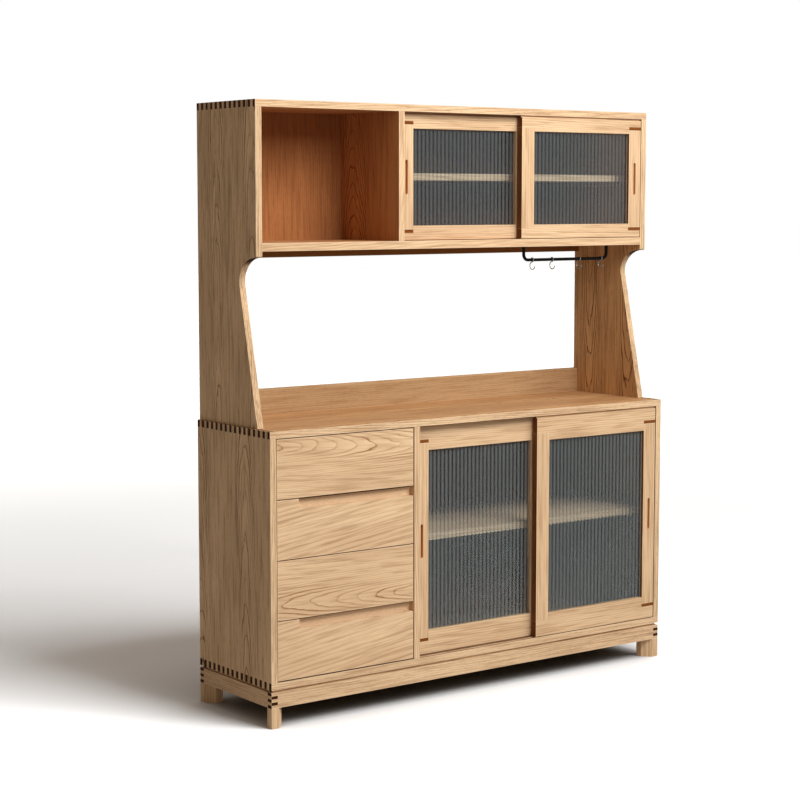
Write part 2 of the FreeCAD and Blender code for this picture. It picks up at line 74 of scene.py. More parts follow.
# Floor: its colour to the eye, near and further out, its colour to the light that it throws back, and how
# far the painted contact shade near the cupboard reaches
FLOOR_SIZE = 60.0
FLOOR_SEEN = (1.90, 1.93, 1.96, 1.0)
FLOOR_FAR = (2.72, 2.76, 2.80, 1.0)
FLOOR_NEAR_END = 3.0
FLOOR_FAR_START = 7.0
FLOOR_LIT = (0.56, 0.56, 0.56, 1.0)
FLOOR_ROUGH = 0.5
CONTACT_SHADE_REACH = 0.5

# Eased edges of the boards
EASE = 0.0006
EASE_SEGMENTS = 2
WELD = 0.00002
FLAT_ANGLE = math.radians(1.0)
EDGE_ANGLE = math.radians(35.0)

# The pull slots of the doors, and how far the painted shade inside them stays behind the face and goes past
# their walls
STILE_WIDTH = 0.051
SLOT_WIDTH = 0.009
SLOT_LENGTH = 0.104
SLOT_DEPTH = 0.010
SLOT_LIP = 0.0009
SLOT_MARGIN = 0.0003

# The wire hooks; their turns are in degrees
ROD_RADIUS = 0.005
HOOK_PLAY = 0.00035
HOOK_WIRE = 0.0015
HOOK_LOOP = 0.012
HOOK_EYE_START = 30.0
HOOK_EYE_END = 270.0
HOOK_LOOP_END = 10.0
HOOK_STEP = 6.0
HOOK_ROUNDNESS = 3

# The range that holds nearly all values of a noise
NOISE_RANGE = (0.3, 0.7)

# Unevenness of metal: fine grit, and wear that darkens it and changes its roughness
GRIT_STRETCH = (900.0, 900.0, 900.0)
GRIT_BUMP = 0.1
GRIT_DEPTH = 0.0002
WEAR_STRETCH = (70.0, 70.0, 70.0)
WEAR_DARK = 0.7
WEAR_ROUGH = (-0.06, 0.08)

# The marks in a board: noise is stretched along it, across it and through it
WAVE_STRETCH = (3.0, 9.0, 9.0)
WAVE_REACH = (0.0, 0.016, 0.016)
RIPPLE_STRETCH = (14.0, 60.0, 60.0)
RIPPLE_REACH = (0.0, 0.0035, 0.0035)
WAVE_DETAIL = 2.0
STREAK_STRETCH = (7.0, 150.0, 150.0)
STREAK_DETAIL = 4.0
PORE_STRETCH = (40.0, 900.0, 900.0)
PORE_DETAIL = 1.0
PORE_RANGE = (0.58, 0.72)
CLOUD_STRETCH = (2.0, 9.0, 9.0)
SEED_REACH = 9.0

# Rings: their dark lines, some fainter, which fade on faces that cut the rings steeply, and their bands
RING_LINE = 0.0054
RING_FAINTEST = 0.35
STEEP_RANGE = (0.35, 0.90)
STEEP_STRENGTH = 0.20
BAND_START = 0.05
BAND_FALL = 2.0

# How strongly each mark colours a board, and from what tilt on a face counts as an end or as a face with
# painted shade
BAND_SHARE = 0.16
STREAK_RANGE = (0.44, 0.68)
STREAK_SHARE = 0.34
CLOUD_SHARE = 0.20
PORE_SHARE = 0.36
END_RANGE = (0.70, 0.92)
END_STREAK_SHARE = 0.15
SHADE_TILT_RANGE = (0.7, 0.9)
# Rubbed edges: lighter partly from wear and partly as a painted highlight
RUB_HIGHLIGHT_WIDTH = 0.003
RUB_HIGHLIGHT_STRENGTH = 0.8

# Sheen and relief of the wood
WOOD_ROUGH = 0.50
STREAK_ROUGH = 0.16
LINE_ROUGH = 0.10
WOOD_GLOSS = 0.04
LINE_DIP = 0.5
STREAK_RISE = 0.5
GRAIN_BUMP = 0.25
GRAIN_DEPTH = 0.0004

# Turns that bring the grain of a board onto its first axis, and its width onto its second
GRAIN_TURN = {
    "x": (0.0, 0.0, 0.0),
    "y": (0.0, 0.0, -math.pi / 2),
    "z": (0.0, math.pi / 2, 0.0),
}
WIDTH_TURN = (-math.pi / 2, 0.0, 0.0)


def tone(red, green, blue):
    """Turns a display colour of 0 to 255 into the linear colour that a shader takes."""
    linear = []
    for level in (red, green, blue):
        share = level / 255
        if share <= 0.04045:
            linear.append(share / 12.92)
        else:
            linear.append(((share + 0.055) / 1.055) ** 2.4)
    return (*linear, 1.0)


# Colours of a wood: its pale part, its ring lines, its end grain and its rubbed edges, lighter from wear
# and from a painted highlight
Wood = namedtuple("Wood", "pale ring end worn")
OAK = Wood(tone(231, 198, 158), tone(132, 81, 38), tone(44, 19, 7), tone(243, 217, 182))
SIDE_OAK = OAK._replace(pale=tone(238, 203, 160), ring=tone(96, 52, 20))
PLAIN_OAK = OAK._replace(end=tone(202, 158, 113))
# Shelves: a paler copy of plain oak, painted light so that they show bright behind the glass
LIT_SHELF_OAK = PLAIN_OAK._replace(pale=tone(254, 217, 178))
# Back panels: a darker, redder oak, partly their own tone and partly painted shade of the niche and the
# cupboards
PANEL_OAK = Wood(tone(184, 120, 72), tone(104, 60, 34), tone(70, 38, 20), tone(184, 134, 94))
COUNTER_RAIL_OAK = Wood(tone(188, 153, 113), tone(140, 92, 52), tone(70, 38, 20), tone(212, 176, 136))
# The hutch's rear rail: a darker copy, painted shade under the hutch
SHADED_HUTCH_RAIL_OAK = COUNTER_RAIL_OAK._replace(pale=tone(142, 94, 50))
# Drawer boxes: a paler wood, partly its own tone and partly painted light where it shows in the shaded
# finger notches
DRAWER_WOOD = Wood(tone(238, 207, 169), tone(218, 174, 130), tone(150, 104, 68), tone(248, 216, 182))
WALNUT = Wood(tone(136, 80, 36), tone(88, 46, 20), tone(66, 34, 16), tone(150, 94, 48))
# Painted shade inside the pull slots of the doors
SLOT_SHADE = tone(206, 152, 96)

# A metal or painted metal: its colour, whether it is bare metal, its roughness and its gloss
Metal = namedtuple("Metal", "colour bare rough gloss")
BLACK_PAINT = Metal(tone(20, 19, 18), 0.0, 0.38, 0.08)
HOOK_STEEL = Metal(tone(156, 156, 153), 1.0, 0.28, 0.5)

# The reeded glass: its grey tint, with painted shade in the grooves and clearer crests, and what share of
# the light its crests scatter as a painted highlight in the lower and the upper doors
FLUTE_PITCH = 0.015
GLASS_GROOVE = tone(174, 173, 171)
GLASS_CREST = tone(198, 213, 215)
GLASS_SHADE = tone(240, 242, 243)
GLASS_CREST_HIGHLIGHT = {"lower": 0.090, "upper": 0.060}
GLASS_GLOSS = (0.25, 0.25, 0.25, 1.0)
GLASS_ROUGH = (0.02, 0.06)
GLASS_INDEX = 1.5
HAZE_STRETCH = (30.0, 30.0, 5.0)

# How a board is cut: the heart above its middle and behind its face, its drift aside and away, ring, repeat
Cut = namedtuple("Cut", "above behind skew taper ring repeat")
NO_REPEAT = 9.0
CUTS = {
    "drawer_1_front": Cut(0.054, 0.028, -0.04, 0.075, 0.0053, NO_REPEAT),
    "drawer_2_front": Cut(-0.200, 0.090, 0.14, 0.010, 0.0130, NO_REPEAT),
    "drawer_3_front": Cut(-0.050, 0.028, -0.04, -0.075, 0.0053, NO_REPEAT),
    "drawer_4_front": Cut(-0.240, 0.090, 0.14, 0.010, 0.0130, NO_REPEAT),
    "base_side_left": Cut(-0.064, 0.044, 0.01, 0.050, 0.0050, 0.255),
    "base_side_right": Cut(-0.040, 0.044, 0.01, 0.050, 0.0050, 0.255),
    "hutch_side_left": Cut(0.051, 0.038, 0.00, 0.032, 0.0045, 0.190),
    "hutch_side_right": Cut(0.081, 0.038, 0.00, -0.032, 0.0045, 0.190),
    "hutch_divider": Cut(0.085, 0.090, 0.03, 0.085, 0.0040, NO_REPEAT),
}

# The ranges from which the cut of any other board is drawn; a board is narrow below this half width
NARROW = 0.06
NARROW_CUT = Cut((0.55, 0.75), (0.06, 0.10), (-0.02, 0.02), (-0.01, 0.01), 0.0070, NO_REPEAT)
WIDE_CUT = Cut((0.0, 0.05), (0.05, 0.07), (-0.01, 0.01), (0.04, 0.07), 0.0060, 0.22)

# Faces toned darker by painted shade: inside the niche, on the hutch's inner walls, inside the cupboards,
# on the counter top and on the doors' meeting edges; the way they look, their tint, and the board beyond
# which it starts, if any
PaintedShade = namedtuple("PaintedShade", "way tint beyond", defaults=(None,))
NICHE_SHADE = (0.76, 0.52, 0.36, 1.0)
HUTCH_SIDE_SHADE = (0.86, 0.72, 0.57, 1.0)
MEETING_EDGE_SHADE = (0.27, 0.16, 0.10, 1.0)
CUPBOARD_SHADE = (0.36, 0.31, 0.28, 1.0)
COUNTER_SHADE = (0.81, 0.64, 0.475, 1.0)
PAINTED_SHADES = {
    "hutch_side_left": PaintedShade("+x", HUTCH_SIDE_SHADE),
    "hutch_side_right": PaintedShade("-x", HUTCH_SIDE_SHADE),
    "hutch_divider": PaintedShade("-x", NICHE_SHADE),
    "hutch_floor": PaintedShade("+z", NICHE_SHADE),
    "hutch_top": PaintedShade("-z", NICHE_SHADE),
    "hutch_back_panel": PaintedShade("-y", CUPBOARD_SHADE, "hutch_divider"),
    "base_top": PaintedShade("+z", COUNTER_SHADE),
    "base_bottom": PaintedShade("+z", CUPBOARD_SHADE),
    "base_back_panel": PaintedShade("-y", CUPBOARD_SHADE),
    "base_side_right": PaintedShade("-x", CUPBOARD_SHADE),
}
for row in ("lower", "upper"):
    for piece in ("stiles", "rails"):
        PAINTED_SHADES[f"{row}_right_door_{piece}"] = PaintedShade("-x", MEETING_EDGE_SHADE)

# What the figure of a board is drawn from, and the marks that it gives
FIGURE_VECTORS = ("place", "heart", "lean")
FIGURE_NUMBERS = ("ring", "repeat", "seed")
Marks = namedtuple("Marks", "line band streak pore cloud")


class Graph:
    """Adds nodes to one tree; the calls that compute a value return its output socket."""

    def __init__(self, tree):
        self.tree = tree

    def node(self, kind, **settings):
        made = self.tree.nodes.new(kind)
        for name, value in settings.items():
            setattr(made, name, value)
        return made

    def feed(self, socket, value):
        if isinstance(value, bpy.types.NodeSocket):
            self.tree.links.new(value, socket)
        else:
            socket.default_value = value

    def feed_all(self, made, values):
        for socket, value in zip(made.inputs, values):
            self.feed(socket, value)

    def math(self, operation, first, second=0.0, third=0.0):
        made = self.node("ShaderNodeMath", operation=operation)
        self.feed_all(made, (first, second, third))
        return made.outputs[0]

    def vector(self, operation, first, second=(0.0, 0.0, 0.0)):
        made = self.node("ShaderNodeVectorMath", operation=operation)
        self.feed_all(made, (first, second))
        return made.outputs["Value" if operation == "LENGTH" else "Vector"]

    def scaled(self, vector, factor):
        made = self.node("ShaderNodeVectorMath", operation="SCALE")
        self.feed(made.inputs[0], vector)
        self.feed(made.inputs["Scale"], factor)
        return made.outputs["Vector"]

    def parts(self, vector):
        made = self.node("ShaderNodeSeparateXYZ")
        self.feed(made.inputs[0], vector)
        return made.outputs

    def joined(self, first, second):
        made = self.node("ShaderNodeCombineXYZ")
        self.feed_all(made, (first, second, 0.0))
        return made.outputs[0]

    def noise(self, vector, stretch, detail=3.0, output="Fac"):
        made = self.node("ShaderNodeTexNoise")
        self.feed(made.inputs["Vector"], self.vector("MULTIPLY", vector, stretch))
        made.inputs["Scale"].default_value = 1.0
        made.inputs["Detail"].default_value = detail
        return made.outputs[output]

    def span(self, value, low, high, to_low=0.0, to_high=1.0):
        made = self.node("ShaderNodeMapRange", interpolation_type="SMOOTHSTEP")
        self.feed_all(made, (value, low, high, to_low, to_high))
        return made.outputs[0]

    def mix(self, factor, first, second, blend="MIX"):
        made = self.node("ShaderNodeMix", data_type="RGBA", blend_type=blend)
        self.feed(made.inputs["Factor"], factor)
        colours = [socket for socket in made.inputs if socket.type == "RGBA"]
        self.feed(colours[0], first)
        self.feed(colours[1], second)
        return next(socket for socket in made.outputs if socket.type == "RGBA")

    def bump(self, height, strength, distance):
        made = self.node("ShaderNodeBump")
        made.inputs["Strength"].default_value = strength
        made.inputs["Distance"].default_value = distance
        self.feed(made.inputs["Height"], height)
        return made.outputs[0]

    def finish(self, output, share, first, second):
        """Ends the tree in a blend of two shaders."""
        made = self.node("ShaderNodeMixShader")
        self.feed_all(made, (share, first.outputs[0], second.outputs[0]))
        self.feed(self.tree.nodes[output].inputs["Surface"], made.outputs[0])


def new_material(name):
    """Makes an empty material and returns it with its graph and its surface shader."""
    material = bpy.data.materials.new(name)
    material.use_nodes = True
    graph = Graph(material.node_tree)
    shader = material.node_tree.nodes["Principled BSDF"]
    return material, graph, shader


def dress(node_name, material):
    """Gives a frame node a material of its own."""
    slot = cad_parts[node_name].material_slots[0]
    slot.link = "OBJECT"
    slot.material = material


def figure_group():
    """Makes the empty group for the figure of a board, with its sockets."""
    tree = bpy.data.node_groups.new("board figure", "ShaderNodeTree")
    for name in FIGURE_VECTORS:
        tree.interface.new_socket(name, in_out="INPUT", socket_type="NodeSocketVector")
    for name in FIGURE_NUMBERS:
        tree.interface.new_socket(name, in_out="INPUT", socket_type="NodeSocketFloat")
    for name in Marks._fields:
        tree.interface.new_socket(name, in_out="OUTPUT", socket_type="NodeSocketFloat")
    return tree


def swing(graph, place, stretch, reach):
    """Gives a push that wanders from place to place, by half its reach to either side at most."""
    blur = graph.noise(place, stretch, WAVE_DETAIL, "Color")
    return graph.vector("MULTIPLY", graph.vector("SUBTRACT", blur, (0.5, 0.5, 0.5)), reach)


def draw_rings(graph, given, results, sown):
    """Draws the growth rings round the heart of the tree, each as a dark line and a band that fades."""
    along = graph.parts(given["place"])[0]
    lean_aside, lean_away = graph.parts(given["lean"])[1:3]
    heart = graph.vector("ADD", given["heart"], graph.scaled(given["lean"], along))
    wavy = graph.vector("SUBTRACT", given["place"], heart)
    wavy = graph.vector("ADD", wavy, swing(graph, sown, WAVE_STRETCH, WAVE_REACH))
    wavy = graph.vector("ADD", wavy, swing(graph, sown, RIPPLE_STRETCH, RIPPLE_REACH))
    aside, away = graph.parts(wavy)[1:3]
    half = graph.math("MULTIPLY", given["repeat"], 0.5)
    aside = graph.math("WRAP", aside, half, graph.math("MULTIPLY", half, -1.0))
    square = graph.math("MULTIPLY", aside, aside)
    radius = graph.math("SQRT", graph.math("MULTIPLY_ADD", away, away, square))
    count = graph.math("DIVIDE", radius, given["ring"])
    phase = graph.math("FRACT", count)

    chance = graph.node("ShaderNodeTexWhiteNoise", noise_dimensions="1D")
    graph.feed(chance.inputs["W"], graph.math("ADD", graph.math("FLOOR", count), given["seed"]))
    strength = graph.span(chance.outputs["Value"], 0.0, 1.0, RING_FAINTEST, 1.0)
    climb = graph.math("MULTIPLY_ADD", away, lean_away, graph.math("MULTIPLY", aside, lean_aside))
    steep = graph.math("SQRT", graph.math("MULTIPLY_ADD", climb, climb, square))
    depth = graph.math("MULTIPLY", phase, given["ring"])
    past = graph.math("MULTIPLY", graph.math("DIVIDE", radius, steep), depth)
    thin = graph.span(past, 0.0, RING_LINE, 1.0, 0.0)
    flat_sawn = graph.span(graph.math("DIVIDE", steep, radius), *STEEP_RANGE, 1.0, STEEP_STRENGTH)
    bold = graph.math("MULTIPLY", strength, flat_sawn)
    graph.feed(results["line"], graph.math("MULTIPLY", thin, bold))

    rest = graph.math("SUBTRACT", 1.0, phase)
    start = graph.span(phase, 0.0, BAND_START)
    graph.feed(results["band"], graph.math("MULTIPLY", graph.math("POWER", rest, BAND_FALL), start))


def draw_fibre(graph, given, results, sown):
    """Draws the streaks and pores along the fibre of the wood, and its broad clouding."""
    along = graph.parts(given["place"])[0]
    lean_aside = graph.parts(given["lean"])[1]
    shear = graph.joined(0.0, graph.math("MULTIPLY", along, lean_aside))
    fibre = graph.vector("SUBTRACT", sown, shear)
    graph.feed(results["streak"], graph.noise(fibre, STREAK_STRETCH, STREAK_DETAIL))
    dashes = graph.noise(fibre, PORE_STRETCH, PORE_DETAIL)
    graph.feed(results["pore"], graph.span(dashes, *PORE_RANGE))
    graph.feed(results["cloud"], graph.noise(sown, CLOUD_STRETCH))


def board_figure():
    """Makes the group, shared by all boards, that draws the marks in a board."""
    tree = figure_group()
    graph = Graph(tree)
    given = graph.node("NodeGroupInput").outputs
    results = graph.node("NodeGroupOutput").inputs
    sown = graph.vector("ADD", given["place"], graph.joined(given["seed"], 0.0))
    draw_rings(graph, given, results, sown)
    draw_fibre(graph, given, results, sown)
    return tree


FIGURE = board_figure()


def board_cut(name, narrow):
    """Gives the way a board is cut: as listed, or drawn from its name."""
    if name in CUTS:
        return CUTS[name]
    ranges = NARROW_CUT if narrow else WIDE_CUT
    draw = random.Random(name)
    side = draw.choice((-1.0, 1.0))
    above = side * draw.uniform(*ranges.above)
    behind = draw.uniform(*ranges.behind)
    skew = draw.uniform(*ranges.skew)
    taper = draw.uniform(*ranges.taper)
    if not narrow:
        taper *= side
    return Cut(above, behind, skew, taper, ranges.ring, ranges.repeat)


def board_turn(axis, low, high):
    """Gives the turn that puts a board's grain, width and thickness on the three axes in order."""
    turn = Euler(GRAIN_TURN[axis]).to_matrix()
    size = turn @ (high - low)
    if abs(size.y) < abs(size.z):
        turn = Euler(WIDTH_TURN).to_matrix() @ turn
    return turn


def turned(graph, socket, turn, kind, shift=(0.0, 0.0, 0.0)):
    """Turns a point or a direction into the board's own axes."""
    made = graph.node("ShaderNodeMapping", vector_type=kind)
    made.inputs["Rotation"].default_value = turn.to_euler()
    if kind == "POINT":
        made.inputs["Location"].default_value = shift
    graph.feed(made.inputs["Vector"], socket)
    return made.outputs[0]


def board_marks(graph, name, place, narrow):
    """Places the figure of a board by its cut, and gives its marks."""
    cut = board_cut(name, narrow)
    figure = graph.node("ShaderNodeGroup", node_tree=FIGURE)
    graph.feed(figure.inputs["place"], place)
    figure.inputs["heart"].default_value = (0.0, cut.above, -cut.behind)
    figure.inputs["lean"].default_value = (0.0, cut.skew, -cut.taper)
    figure.inputs["ring"].default_value = cut.ring
    figure.inputs["repeat"].default_value = cut.repeat
    figure.inputs["seed"].default_value = random.Random(f"{name} seed").uniform(-SEED_REACH, SEED_REACH)
    return Marks(*(figure.outputs[mark] for mark in Marks._fields))


def face_colour(graph, wood, marks):
    """Colours a board: bands, streaks, clouding, ring lines and pores, each over the last."""
    colour = graph.mix(graph.math("MULTIPLY", marks.band, BAND_SHARE), wood.pale, wood.ring)
    colour = graph.mix(graph.span(marks.streak, *STREAK_RANGE, 0.0, STREAK_SHARE), colour, wood.ring)
    colour = graph.mix(graph.span(marks.cloud, *NOISE_RANGE, 0.0, CLOUD_SHARE), colour, wood.ring)
    colour = graph.mix(marks.line, colour, wood.ring)
    return graph.mix(graph.math("MULTIPLY", marks.pore, PORE_SHARE), colour, wood.end)


def edge_rub_and_highlight(graph, place, half, cloud):
    """Gives how much a point is rubbed and lit by a painted highlight, from its distance to the nearest
    edge of the board.
    """
    gaps = graph.parts(graph.vector("SUBTRACT", half, graph.vector("ABSOLUTE", place)))
    nearer = graph.math("MINIMUM", gaps[0], gaps[1])
    further = graph.math("MAXIMUM", gaps[0], gaps[1])
    edge_gap = graph.math("MAXIMUM", nearer, graph.math("MINIMUM", further, gaps[2]))
    return graph.math("MULTIPLY", graph.span(edge_gap, 0.0, RUB_HIGHLIGHT_WIDTH, RUB_HIGHLIGHT_STRENGTH, 0.0), cloud)


def with_ends(graph, colour, facing, streak, wood):
    """Puts the end grain over the faces that cut across the grain."""
    end = graph.span(graph.math("ABSOLUTE", graph.parts(facing)[0]), *END_RANGE)
    end_colour = graph.mix(graph.span(streak, *NOISE_RANGE, 0.0, END_STREAK_SHARE), wood.end, wood.ring)
    return graph.mix(end, colour, end_colour)


def with_painted_shade(graph, colour, texture, shade_mark):
    """Paints shade on the faces that look the given way, and only beyond its board if it names one."""
    sign, axis = shade_mark.way
    level = graph.parts(texture["Normal"])["xyz".index(axis)]
    look = graph.math("MULTIPLY", level, 1.0 if sign == "+" else -1.0)
    share = graph.span(look, *SHADE_TILT_RANGE)
    if shade_mark.beyond:
        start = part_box(shade_mark.beyond)[0][0]
        past_start = graph.math("GREATER_THAN", graph.parts(texture["Object"])[0], start)
        share = graph.math("MULTIPLY", share, past_start)
    return graph.mix(share, colour, shade_mark.tint, "MULTIPLY")


def box_share(graph, point, low, high):
    """Gives 1 inside a box and 0 outside it."""
    share = 1.0
    for level, floor, ceiling in zip(graph.parts(point), low, high):
        inside = graph.math("MULTIPLY", graph.math("GREATER_THAN", level, floor),
                            graph.math("LESS_THAN", level, ceiling))
        share = graph.math("MULTIPLY", inside, share)
    return share


def slot_box(name):
    """Gives the box inside the pull slot of a door, for the stiles of that door."""
    low, high = (Vector(corner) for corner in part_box(name))
    centre = low.x + STILE_WIDTH / 2 if "left" in name else high.x - STILE_WIDTH / 2
    level = (low.z + high.z) / 2
    across = SLOT_WIDTH / 2 + SLOT_MARGIN
    upward = SLOT_LENGTH / 2 + SLOT_MARGIN
    first = Vector((centre - across, low.y + SLOT_LIP, level - upward))
    last = Vector((centre + across, low.y + SLOT_DEPTH + SLOT_MARGIN, level + upward))
    return first, last


def wood_surface(graph, shader, marks):
    """Gives a board's surface its sheen and the relief of its grain."""
    rough = graph.math("MULTIPLY_ADD", marks.streak, STREAK_ROUGH, WOOD_ROUGH)
    rough = graph.math("MULTIPLY_ADD", marks.line, LINE_ROUGH, rough)
    graph.feed(shader.inputs["Roughness"], rough)
    dips = graph.math("MULTIPLY_ADD", marks.line, LINE_DIP, marks.pore)
    height = graph.math("SUBTRACT", graph.math("MULTIPLY", marks.streak, STREAK_RISE), dips)
    graph.feed(shader.inputs["Normal"], graph.bump(height, GRAIN_BUMP, GRAIN_DEPTH))
    shader.inputs["Specular IOR Level"].default_value = WOOD_GLOSS


def wood_material(name, axis, wood):
    """Makes a board's material: rings and streaks along its grain, its end grain, rubbed edges with a
    painted highlight, and painted shade on some faces and inside the pull slots.
    """
    low, high = (Vector(corner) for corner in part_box(name))
    turn = board_turn(axis, low, high)
    half = Vector(abs(size) for size in turn @ ((high - low) / 2))
    narrow = half.y < NARROW or name.endswith(("_stiles", "_rails", "_panel"))
    material, graph, shader = new_material(f"{name} wood")
    texture = graph.node("ShaderNodeTexCoord").outputs
    place = turned(graph, texture["Object"], turn, "POINT", -(turn @ ((low + high) / 2)))
    marks = board_marks(graph, name, place, narrow)
    colour = face_colour(graph, wood, marks)
    # Rubbed edges, lighter partly from wear and partly as a painted highlight
    colour = graph.mix(edge_rub_and_highlight(graph, place, half, marks.cloud), colour, wood.worn)
    if not name.endswith("_box"):
        facing = turned(graph, texture["Normal"], turn, "VECTOR")
        colour = with_ends(graph, colour, facing, marks.streak, wood)
    # Painted shade on the faces that the table lists
    if name in PAINTED_SHADES:
        colour = with_painted_shade(graph, colour, texture, PAINTED_SHADES[name])
    # Painted shade inside the pull slot of a door's stiles
    if name.endswith("_stiles"):
        in_slot = box_share(graph, texture["Object"], *slot_box(name))
        colour = graph.mix(in_slot, colour, SLOT_SHADE)
    graph.feed(shader.inputs["Base Color"], colour)
    wood_surface(graph, shader, marks)
    return material


def ease_edges(name):
    """Rounds a board's sharp edges a little."""
    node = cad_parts[name]
    weld = node.modifiers.new("weld", "WELD")
    weld.merge_threshold = WELD
    flat = node.modifiers.new("flat faces", "DECIMATE")
    flat.decimate_type = "DISSOLVE"
    flat.angle_limit = FLAT_ANGLE
    ease = node.modifiers.new("eased edges", "BEVEL")
    ease.width = EASE
    ease.segments = EASE_SEGMENTS
    ease.limit_method = "ANGLE"
    ease.angle_limit = EDGE_ANGLE
    ease.harden_normals = True


def grain_axis(name):
    """Gives the direction in which a board's grain runs."""
    if name.startswith("foot") or name.endswith(("_stiles", "_panel", "_divider")):
        return "z"
    if name.startswith(("base_side", "hutch_side")):
        return "z"
    if name in ("plinth_rail_left", "plinth_rail_right", "drawer_runners", "shelf_cleats"):
        return "y"
    if name.endswith("_box"):
        return "y"
    return "x"


def wood_of(name):
    """Gives the wood that a board is made of; only boards with finger joints have very dark ends."""
    if name.endswith("_keys"):
        return WALNUT
    if name.endswith("_panel"):
        return PANEL_OAK
    if name.endswith("_shelf"):
        return LIT_SHELF_OAK
    if name == "hutch_rear_rail":
        return SHADED_HUTCH_RAIL_OAK
    if name == "counter_back_rail":
        return COUNTER_RAIL_OAK
    if name.endswith(("_box", "_bottom", "_runners")) and name.startswith("drawer"):
        return DRAWER_WOOD
    if name.startswith(("base_side", "hutch_side")):
        return SIDE_OAK
    if name.startswith("plinth") or name in ("base_top", "base_bottom", "hutch_top"):
        return OAK
    return PLAIN_OAK


def dress_boards():
    """Gives every wooden node its material and its eased edges."""
    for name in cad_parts:
        if name.endswith("_glass") or name.startswith("mug_"):
            continue
        dress(name, wood_material(name, grain_axis(name), wood_of(name)))
        ease_edges(name)


def glass_material(name):
    """Makes a door's grey reeded glass, with painted shade in the grooves and a painted highlight on the
    crest of each flute, which lets the lamps through.
    """
    low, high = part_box(name)
    count = round((high[0] - low[0]) / FLUTE_PITCH)
    step = (high[0] - low[0]) / count
    material, graph, shader = new_material(f"{name} reeded")
    place = graph.node("ShaderNodeTexCoord").outputs["Object"]
    across = graph.math("DIVIDE", graph.math("SUBTRACT", graph.parts(place)[0], low[0]), step)
    swell = graph.math("SINE", graph.math("MULTIPLY", graph.math("FRACT", across), math.pi))
    crest = graph.span(swell, 0.0, 1.0)
    # Grey tint, darker in the grooves as painted shade and clearer on the crests
    graph.feed(shader.inputs["Base Color"], graph.mix(crest, GLASS_GROOVE, GLASS_CREST))
    row = name.split("_")[0]
    # Painted highlight: the crests scatter a share of the light as a dull surface
    crest_highlight = graph.math("MULTIPLY", crest, GLASS_CREST_HIGHLIGHT[row])
    graph.feed(shader.inputs["Transmission Weight"], graph.math("SUBTRACT", 1.0, crest_highlight))
    haze = graph.noise(place, HAZE_STRETCH)
    graph.feed(shader.inputs["Roughness"], graph.span(haze, *NOISE_RANGE, *GLASS_ROUGH))
    shader.inputs["IOR"].default_value = GLASS_INDEX
    shader.inputs["Specular Tint"].default_value = GLASS_GLOSS
    clear = graph.node("ShaderNodeBsdfTransparent")
    clear.inputs["Color"].default_value = GLASS_SHADE
    path = graph.node("ShaderNodeLightPath").outputs
    dull_or_shadow = graph.math("MAXIMUM", path["Is Shadow Ray"], path["Is Diffuse Ray"])
    graph.finish("Material Output", dull_or_shadow, shader, clear)
    return material


def metal_material(name, metal):
    """Makes a metal or painted metal finish with fine unevenness."""
    material, graph, shader = new_material(name)
    place = graph.node("ShaderNodeTexCoord").outputs["Object"]
    grit = graph.noise(place, GRIT_STRETCH)
    wear = graph.noise(place, WEAR_STRETCH)
    darker = tuple(level * WEAR_DARK for level in metal.colour[:3]) + (1.0,)
    roughness = [metal.rough + change for change in WEAR_ROUGH]
    graph.feed(shader.inputs["Base Color"], graph.mix(graph.span(wear, *NOISE_RANGE), darker, metal.colour))
    graph.feed(shader.inputs["Roughness"], graph.span(wear, *NOISE_RANGE, *roughness))
    graph.feed(shader.inputs["Normal"], graph.bump(grit, GRIT_BUMP, GRIT_DEPTH))
    shader.inputs["Metallic"].default_value = metal.bare
    shader.inputs["Specular IOR Level"].default_value = metal.gloss
    return material


def wire_weight(points):
    """Gives the middle of the weight of a wire along these points."""
    weight = Vector((0.0, 0.0, 0.0))
    length = 0.0
    for near, far in zip(points, points[1:]):
        run = (far - near).length
        weight += (near + far) / 2 * run
        length += run
    return weight / length


def hook_path(middle):
    """Gives the points of a hook's wire: an eye round the rod and a loop, hung with its weight below."""
    eye = ROD_RADIUS + HOOK_PLAY + HOOK_WIRE
    loop = -eye - HOOK_LOOP
    points = []
    for step in range(round((HOOK_EYE_END - HOOK_EYE_START) / HOOK_STEP) + 1):
        turn = math.radians(HOOK_EYE_START + step * HOOK_STEP)
        points.append(Vector((0.0, eye * math.cos(turn), eye * math.sin(turn))))
    for step in range(1, round((HOOK_EYE_END - HOOK_LOOP_END) / HOOK_STEP) + 1):
        turn = math.radians(HOOK_EYE_END - step * HOOK_STEP)
        points.append(Vector((0.0, -HOOK_LOOP * math.cos(turn), loop - HOOK_LOOP * math.sin(turn))))
    weight = wire_weight(points)
    lean = Euler((-math.atan2(weight.y, -weight.z), 0.0, 0.0)).to_matrix()
    return [middle + lean @ point for point in points]


def add_wire(name, points, material):
    """Bends a smooth round wire along these points."""
    curve = bpy.data.curves.new(name, "CURVE")
    curve.dimensions = "3D"
    curve.bevel_depth = HOOK_WIRE
    curve.bevel_resolution = HOOK_ROUNDNESS
    curve.use_fill_caps = True
    spline = curve.splines.new("POLY")
    spline.points.add(len(points) - 1)
    for target, point in zip(spline.points, points):
        target.co = (*point, 1.0)
    spline.use_smooth = True
    curve.materials.append(material)
    wire = bpy.data.objects.new(name, curve)
    bpy.context.scene.collection.objects.link(wire)
    return wire


def add_hook(number, steel):
    """Hangs a hook of round wire on the mug rail in place of a many-sided one."""
    node = f"mug_hook_{number}"
    rail_low, rail_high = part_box("mug_rail")
    hook_low, hook_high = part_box(node)
    middle = Vector(((hook_low[0] + hook_high[0]) / 2, (rail_low[1] + rail_high[1]) / 2,
                     rail_low[2] + ROD_RADIUS))
    hook = add_wire(f"hook_wire_{number}", hook_path(middle), steel)
    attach(hook, f"hook_{number}")
    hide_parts(node)


